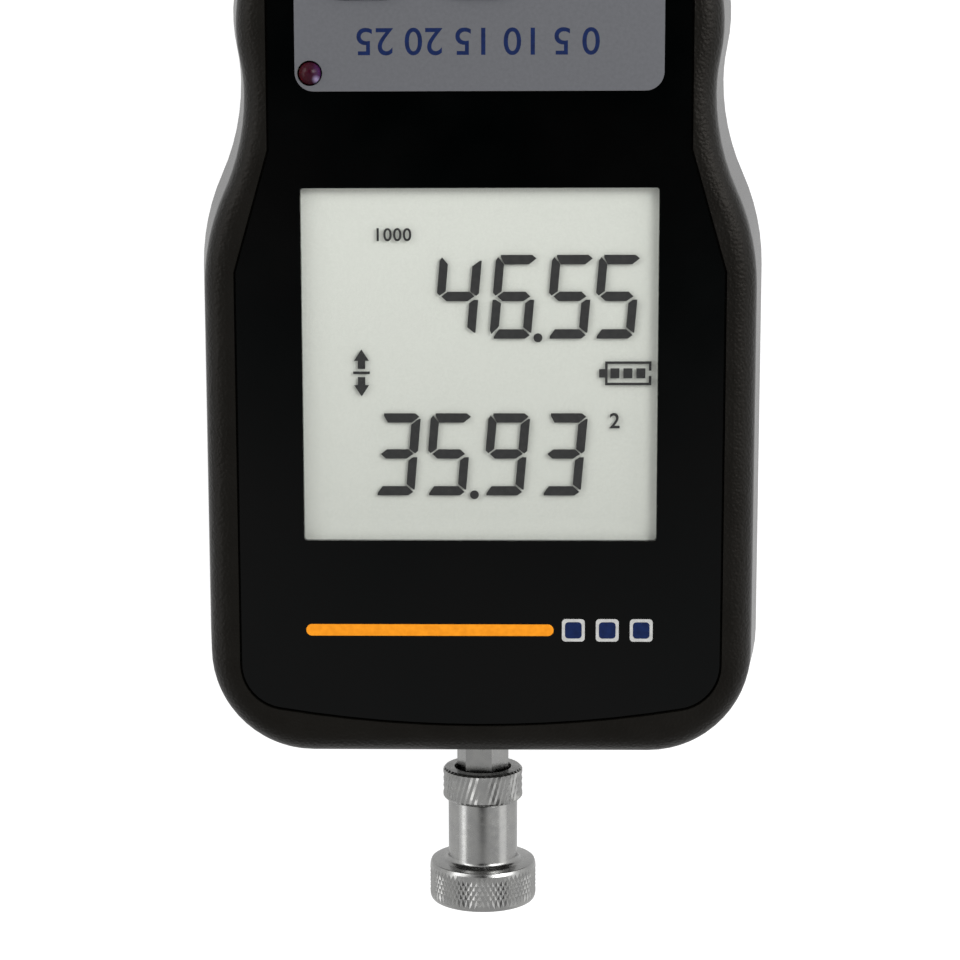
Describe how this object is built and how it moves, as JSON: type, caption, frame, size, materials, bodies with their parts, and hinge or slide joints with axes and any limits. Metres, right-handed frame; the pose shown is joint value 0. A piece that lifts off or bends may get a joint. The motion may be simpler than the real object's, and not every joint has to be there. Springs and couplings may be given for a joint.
{
  "type": "digital force gauge",
  "caption": "Handheld digital force gauge with a waisted case, a large square display, a keypad and a knurled flat head on its sensor shaft, lying on its back.",
  "frame": {"origin": "middle of the whole instrument's outline, in the plane of the flat back that it rests on", "axes": "+Y from the sensor towards the end of the handle, +Z out of the front with the display, +X to the right seen from the front with the handle up"},
  "size_m": [0.084, 0.2272, 0.0389],
  "materials": {
    "case_black": "textured",
    "panel_black": "satin",
    "label_grey": "satin",
    "window_clear": "clear",
    "display_grey": "matte",
    "inner_white": "matte",
    "light_red": "gloss",
    "board_green": "satin",
    "chip_black": "matte",
    "switch_black": "matte",
    "socket_black": "matte",
    "lead_grey": "matte",
    "bush_black": "satin",
    "key_blue": "gloss",
    "screw_steel": "zinc plated",
    "anchor_steel": "machined",
    "contact_steel": "nickel plated",
    "bright_steel": "turned, nickel plated",
    "insert_brass": "machined",
    "battery_jacket": "plain sleeve",
    "cell_aluminium": "machined"
  },
  "bodies": {
    "case": {"front_shell": "case_black", "front_panel": "panel_black", "keypad_label": "label_grey", "lcd_window": "window_clear", "lcd_glass": "display_grey", "lcd_holder": "inner_white", "power_led": "light_red", "main_board": "board_green", "board_chips": "chip_black", "board_screws": "screw_steel", "key_switches": "switch_black", "data_socket": "socket_black", "power_socket": "socket_black", "rear_shell": "case_black", "case_screws": "screw_steel", "stand_inserts": "insert_brass", "battery_cells": "battery_jacket", "battery_contacts": "contact_steel", "load_cell": "cell_aluminium", "cell_anchor": "anchor_steel", "anchor_screws": "screw_steel", "sensor_lead": "lead_grey", "shaft_bush": "bush_black"},
    "sensor": {"measuring_shaft": "bright_steel"},
    "lock_nut": {"lock_nut": "bright_steel"},
    "flat_head": {"flat_head": "bright_steel"},
    "battery_cover": {"battery_cover": "case_black"},
    "key_1": {"key_1": "key_blue"},
    "key_2": {"key_2": "key_blue"},
    "key_3": {"key_3": "key_blue"},
    "key_4": {"key_4": "key_blue"},
    "key_5": {"key_5": "key_blue"},
    "key_6": {"key_6": "key_blue"},
    "key_7": {"key_7": "key_blue"},
    "key_8": {"key_8": "key_blue"}
  },
  "joints": [
    {"name": "sensor_push", "type": "slide", "parent": "case", "child": "sensor", "axis": [0, 1, 0], "range_m": [-0.0003, 0.0003], "stiffness_N_per_m": 1500},
    {"name": "lock_nut_turn", "type": "hinge", "parent": "sensor", "child": "lock_nut", "pos_m": [0, -0.0949, 0.019], "axis": [0, 1, 0], "continuous": true},
    {"name": "flat_head_turn", "type": "hinge", "parent": "sensor", "child": "flat_head", "pos_m": [0, -0.1059, 0.019], "axis": [0, 1, 0], "continuous": true},
    {"name": "battery_cover_slide", "type": "slide", "parent": "case", "child": "battery_cover", "axis": [0, 1, 0], "range_m": [0, 0.116]},
    {"name": "key_1_press", "type": "slide", "parent": "case", "child": "key_1", "axis": [0, 0, -1], "range_m": [0, 0.0006], "stiffness_N_per_m": 300, "springref_m": -0.0005},
    {"name": "key_2_press", "type": "slide", "parent": "case", "child": "key_2", "axis": [0, 0, -1], "range_m": [0, 0.0006], "stiffness_N_per_m": 300, "springref_m": -0.0005},
    {"name": "key_3_press", "type": "slide", "parent": "case", "child": "key_3", "axis": [0, 0, -1], "range_m": [0, 0.0006], "stiffness_N_per_m": 300, "springref_m": -0.0005},
    {"name": "key_4_press", "type": "slide", "parent": "case", "child": "key_4", "axis": [0, 0, -1], "range_m": [0, 0.0006], "stiffness_N_per_m": 300, "springref_m": -0.0005},
    {"name": "key_5_press", "type": "slide", "parent": "case", "child": "key_5", "axis": [0, 0, -1], "range_m": [0, 0.0006], "stiffness_N_per_m": 300, "springref_m": -0.0005},
    {"name": "key_6_press", "type": "slide", "parent": "case", "child": "key_6", "axis": [0, 0, -1], "range_m": [0, 0.0006], "stiffness_N_per_m": 300, "springref_m": -0.0005},
    {"name": "key_7_press", "type": "slide", "parent": "case", "child": "key_7", "axis": [0, 0, -1], "range_m": [0, 0.0006], "stiffness_N_per_m": 300, "springref_m": -0.0005},
    {"name": "key_8_press", "type": "slide", "parent": "case", "child": "key_8", "axis": [0, 0, -1], "range_m": [0, 0.0006], "stiffness_N_per_m": 300, "springref_m": -0.0005}
  ]
}
